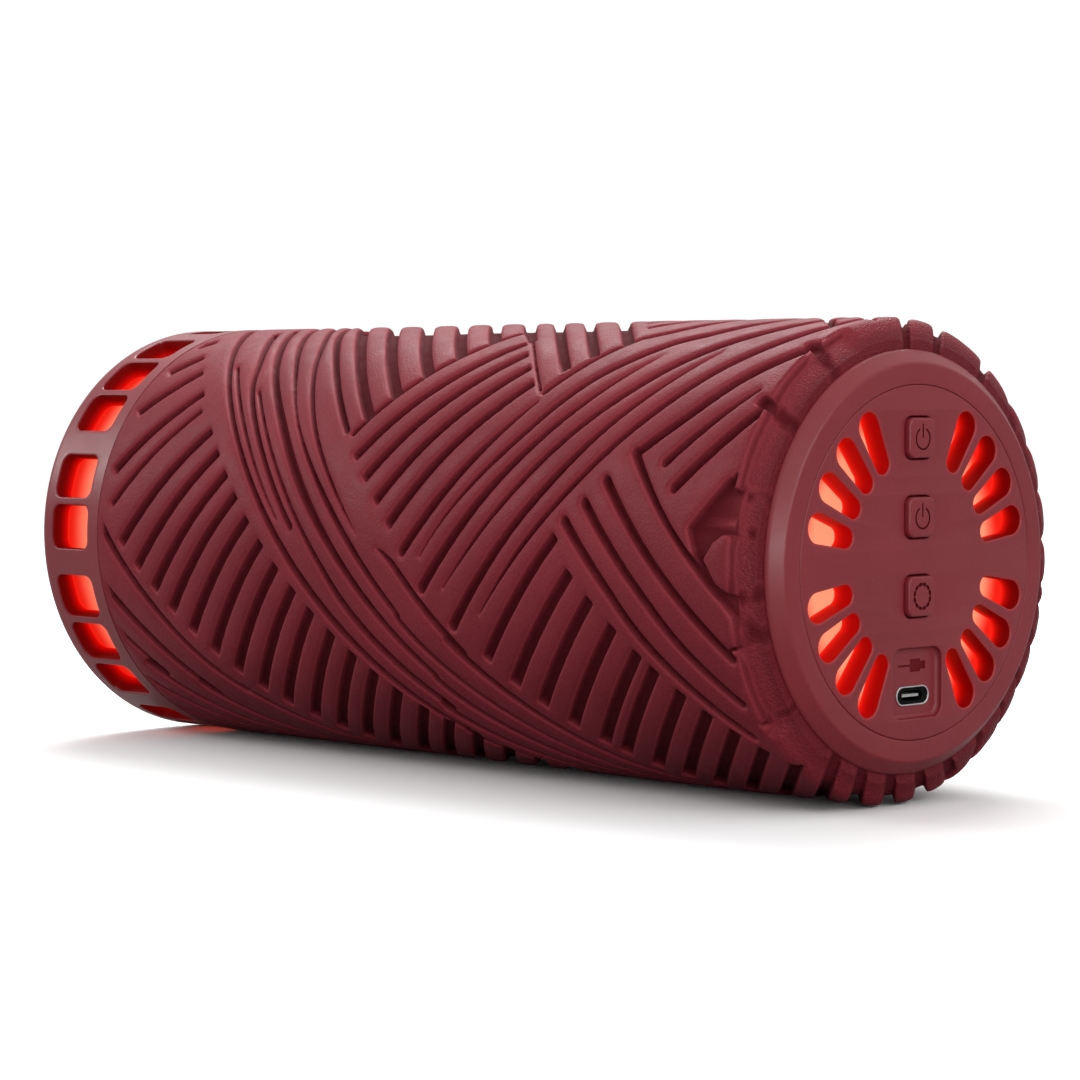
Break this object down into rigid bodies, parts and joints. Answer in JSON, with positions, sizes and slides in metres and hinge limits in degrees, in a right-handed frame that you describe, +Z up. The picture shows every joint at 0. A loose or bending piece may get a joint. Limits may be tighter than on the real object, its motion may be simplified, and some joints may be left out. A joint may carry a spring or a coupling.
{
  "type": "foam roller",
  "caption": "Battery-powered vibrating foam roller with a diagonally ridged sleeve, a lit control cap with push buttons and a charging port at one end, and a lit window band at the other.",
  "frame": {"origin": "on the floor, under the middle of the roller: the middle of the underside of its box", "axes": "+X along the roller's axis towards the control cap, +Z up as the roller lies on its side, with the buttons in a column one above the other and the charging port lowest"},
  "size_m": [0.3062, 0.13, 0.13],
  "materials": {
    "foam": "matte",
    "tube": "satin",
    "shell": "satin",
    "diffuser": "satin",
    "light_well": "satin",
    "inner_ring": "matte",
    "led": "gloss",
    "strip": "satin",
    "silicone": "matte",
    "black_plastic": "satin",
    "steel": "satin",
    "bearing": "polished",
    "screw": "satin",
    "board": "satin",
    "port_metal": "polished",
    "port_tongue": "satin",
    "chassis": "matte",
    "magnet": "satin",
    "copper": "satin",
    "weight": "satin",
    "cell": "gloss",
    "nickel": "satin",
    "wire_red": "satin",
    "wire_black": "satin",
    "wire_white": "satin"
  },
  "bodies": {
    "roller": {"foam_sleeve": "foam", "core_tube": "tube", "far_shell": "shell", "far_cover": "shell", "far_cover_screws": "screw", "far_baffle": "light_well", "far_diffuser": "diffuser", "far_led_strip": "strip", "far_leds": "led", "sleeve_stop_ring": "inner_ring", "cap_ring": "shell", "control_disc": "shell", "cap_retainer": "inner_ring", "slot_baffles": "light_well", "near_diffusers": "diffuser", "button_mat": "silicone", "near_leds": "led", "switch_bases": "steel", "control_board": "board", "board_chips": "black_plastic", "board_screws": "screw", "cap_screws": "screw", "usb_shell": "port_metal", "usb_tongue": "port_tongue", "usb_insert": "black_plastic", "usb_trim": "port_metal", "chassis": "chassis", "motor_can": "steel", "motor_magnets": "magnet", "motor_bell_far": "steel", "motor_bell_near": "steel", "motor_bearings": "bearing", "motor_clamps": "steel", "clamp_screws": "screw", "weight_covers": "black_plastic", "battery_cells": "cell", "battery_tray": "black_plastic", "battery_tabs": "nickel", "battery_strap": "steel", "strap_screws": "screw", "battery_board": "board", "motor_wires": "wire_red", "battery_wires": "wire_black", "led_wires": "wire_white"},
    "vibration_button": {"vibration_button": "shell", "vibration_plunger": "black_plastic"},
    "light_button": {"light_button": "shell", "light_plunger": "black_plastic"},
    "mode_button": {"mode_button": "shell", "mode_plunger": "black_plastic"},
    "motor_rotor": {"rotor_shaft": "steel", "rotor_core": "copper", "commutator": "copper", "eccentric_weights": "weight"}
  },
  "joints": [
    {"name": "vibration_button_press", "type": "slide", "parent": "roller", "child": "vibration_button", "axis": [-1, 0, 0], "range_m": [0, 0.0008], "stiffness_N_per_m": 1500, "springref_m": -0.0006},
    {"name": "light_button_press", "type": "slide", "parent": "roller", "child": "light_button", "axis": [-1, 0, 0], "range_m": [0, 0.0008], "stiffness_N_per_m": 1500, "springref_m": -0.0006},
    {"name": "mode_button_press", "type": "slide", "parent": "roller", "child": "mode_button", "axis": [-1, 0, 0], "range_m": [0, 0.0008], "stiffness_N_per_m": 1500, "springref_m": -0.0006},
    {"name": "rotor_spin", "type": "hinge", "parent": "roller", "child": "motor_rotor", "pos_m": [-0.04, 0, 0.065], "axis": [1, 0, 0], "continuous": true}
  ]
}
